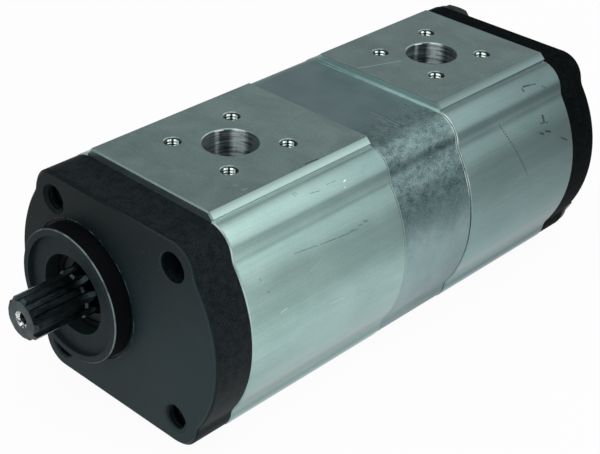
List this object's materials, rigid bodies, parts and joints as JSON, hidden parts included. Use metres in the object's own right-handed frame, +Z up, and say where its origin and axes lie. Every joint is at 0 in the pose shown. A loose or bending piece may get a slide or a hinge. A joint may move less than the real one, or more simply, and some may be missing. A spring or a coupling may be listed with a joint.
{
  "type": "hydraulic gear pump",
  "caption": "Tandem hydraulic gear pump: splined drive shaft and round locating boss on a black flange, aluminium gear housings with square port pads, black rear cover.",
  "frame": {"origin": "on the drive shaft's axis, in the plane of the mounting face", "axes": "+Y along the shaft from the mounting face to the rear cover, +X from the drive gears to the driven gears, +Z up towards the suction ports"},
  "size_m": [0.101, 0.2459, 0.0872],
  "materials": {
    "black_iron": "satin black paint on cast iron",
    "extruded_aluminium": "plain extruded, machined pads",
    "blasted_aluminium": "blasted, matt grey",
    "bearing_aluminium": "machined",
    "bearing_bronze": "bronze bearing lining",
    "shaft_steel": "hardened, dark oiled steel",
    "gear_steel": "ground steel",
    "spring_steel": "phosphated spring steel",
    "blackened_steel": "blackened and oiled",
    "seal_rubber": "black nitrile rubber"
  },
  "bodies": {
    "case": {"front_cover": "black_iron", "rear_cover": "black_iron", "front_body": "extruded_aluminium", "rear_body": "extruded_aluminium", "middle_housing": "blasted_aluminium", "shaft_seal": "seal_rubber", "seal_clip": "spring_steel", "tie_bolts": "blackened_steel", "tie_bolt_washers": "blackened_steel", "dowel_pins": "gear_steel", "front_stage_front_block": "bearing_aluminium", "front_stage_rear_block": "bearing_aluminium", "rear_stage_front_block": "bearing_aluminium", "rear_stage_rear_block": "bearing_aluminium", "front_stage_front_drive_bush": "bearing_bronze", "front_stage_front_driven_bush": "bearing_bronze", "front_stage_rear_drive_bush": "bearing_bronze", "front_stage_rear_driven_bush": "bearing_bronze", "rear_stage_front_drive_bush": "bearing_bronze", "rear_stage_front_driven_bush": "bearing_bronze", "rear_stage_rear_drive_bush": "bearing_bronze", "rear_stage_rear_driven_bush": "bearing_bronze", "front_stage_front_pressure_seal": "seal_rubber", "front_stage_rear_pressure_seal": "seal_rubber", "rear_stage_front_pressure_seal": "seal_rubber", "rear_stage_rear_pressure_seal": "seal_rubber", "front_stage_front_housing_seal": "seal_rubber", "front_stage_rear_housing_seal": "seal_rubber", "rear_stage_front_housing_seal": "seal_rubber", "rear_stage_rear_housing_seal": "seal_rubber"},
    "drive_train": {"drive_shaft": "shaft_steel", "coupling_sleeve": "gear_steel", "rear_drive_gear": "gear_steel"},
    "front_driven": {"front_driven_gear": "gear_steel"},
    "rear_driven": {"rear_driven_gear": "gear_steel"}
  },
  "joints": [
    {"name": "drive_spin", "type": "hinge", "parent": "case", "child": "drive_train", "pos_m": [0, 0, 0], "axis": [0, 1, 0], "continuous": true},
    {"name": "front_driven_spin", "type": "hinge", "parent": "case", "child": "front_driven", "pos_m": [0.032, 0.0545, 0], "axis": [0, 1, 0], "continuous": true},
    {"name": "rear_driven_spin", "type": "hinge", "parent": "case", "child": "rear_driven", "pos_m": [0.032, 0.1635, 0], "axis": [0, 1, 0], "continuous": true}
  ],
  "couplings": [
    {"joint": "front_driven_spin", "follows": "drive_spin", "ratio": -1},
    {"joint": "rear_driven_spin", "follows": "drive_spin", "ratio": -1}
  ]
}
